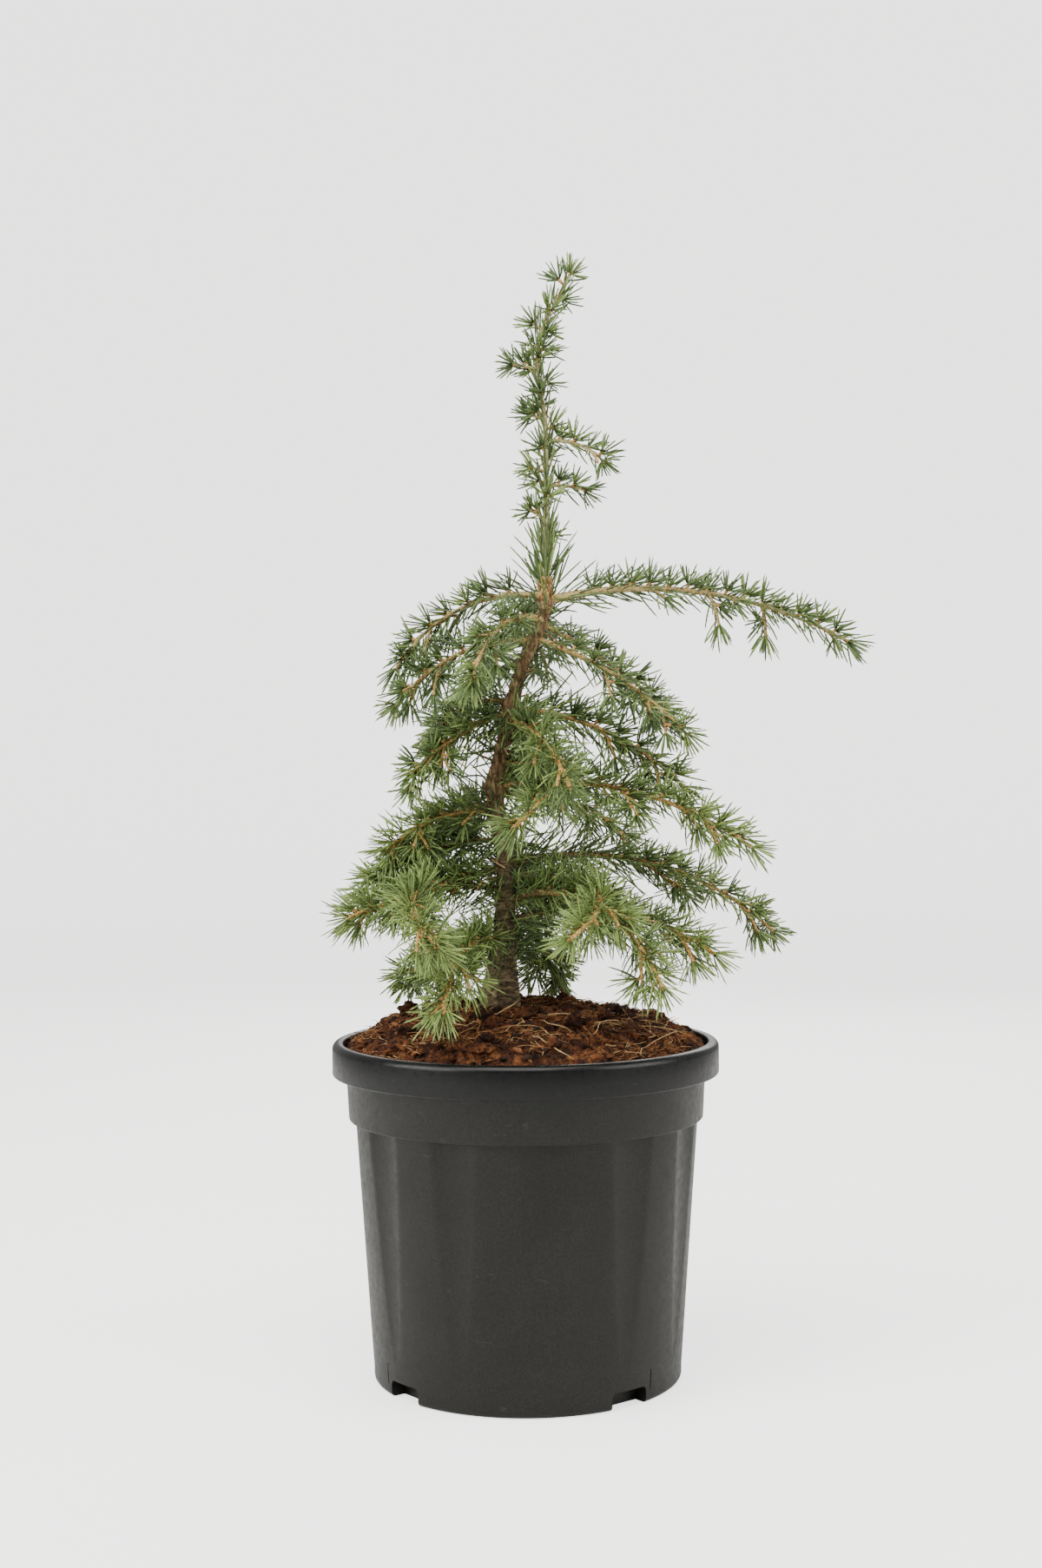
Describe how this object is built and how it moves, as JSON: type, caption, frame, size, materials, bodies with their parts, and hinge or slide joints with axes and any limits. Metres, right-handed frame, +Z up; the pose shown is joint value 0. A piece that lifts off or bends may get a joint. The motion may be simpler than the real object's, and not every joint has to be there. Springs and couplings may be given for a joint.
{
  "type": "potted conifer",
  "caption": "Young cedar of Lebanon in a black nursery pot: leaning trunk, drooping tiers of boughs with needle sprays, a slim leader and a soil mound.",
  "frame": {"origin": "centre of the pot's flat underside, on the floor it stands on", "axes": "+Z up along the pot's axis, -Y is the front seen in the picture, +X is its right"},
  "size_m": [0.3537, 0.2776, 0.7373],
  "materials": {
    "pot_plastic": "satin charcoal black, with faint scuffs",
    "soil": "rough coir and peat",
    "bark": "rough grey-brown bark",
    "needles": "mid green needles on tan twigs"
  },
  "bodies": {
    "root": {"pot": "pot_plastic", "soil": "soil", "trunk": "bark", "bough_top_right": "bark", "bough_top_left": "bark", "bough_top_front": "bark", "bough_top_back": "bark", "bough_upper_right_back": "bark", "bough_upper_right": "bark", "bough_upper_left": "bark", "bough_middle_left_front": "bark", "bough_middle_right": "bark", "bough_middle_front": "bark", "bough_middle_back": "bark", "bough_right": "bark", "bough_low_right": "bark", "bough_low_right_front": "bark", "bough_lowest_right": "bark", "bough_low_left_front": "bark", "bough_low_front_left": "bark", "bough_low_back": "bark", "bough_lowest_left": "bark", "foliage_top_right": "needles", "foliage_top_left": "needles", "foliage_top_front": "needles", "foliage_top_back": "needles", "foliage_upper_right_back": "needles", "foliage_upper_right": "needles", "foliage_upper_left": "needles", "foliage_upper_back": "needles", "foliage_middle_left": "needles", "foliage_middle_left_front": "needles", "foliage_middle_right": "needles", "foliage_middle_front": "needles", "foliage_middle_front_left": "needles", "foliage_middle_back": "needles", "foliage_right": "needles", "foliage_right_back": "needles", "foliage_left": "needles", "foliage_left_back": "needles", "foliage_low_right": "needles", "foliage_low_right_front": "needles", "foliage_lowest_right": "needles", "foliage_low_front": "needles", "foliage_low_left": "needles", "foliage_low_left_front": "needles", "foliage_low_front_left": "needles", "foliage_low_back": "needles", "foliage_lowest_left": "needles", "foliage_lowest_left_back": "needles", "foliage_lowest_right_back": "needles", "foliage_leader_right": "needles", "foliage_leader_low_right": "needles", "foliage_leader_low_left": "needles", "foliage_leader_left": "needles", "foliage_leader_high_left": "needles", "foliage_leader_top_left": "needles", "foliage_leader_crown_left": "needles", "foliage_leader_crown_right": "needles", "foliage_leader_tip": "needles"}
  },
  "joints": []
}
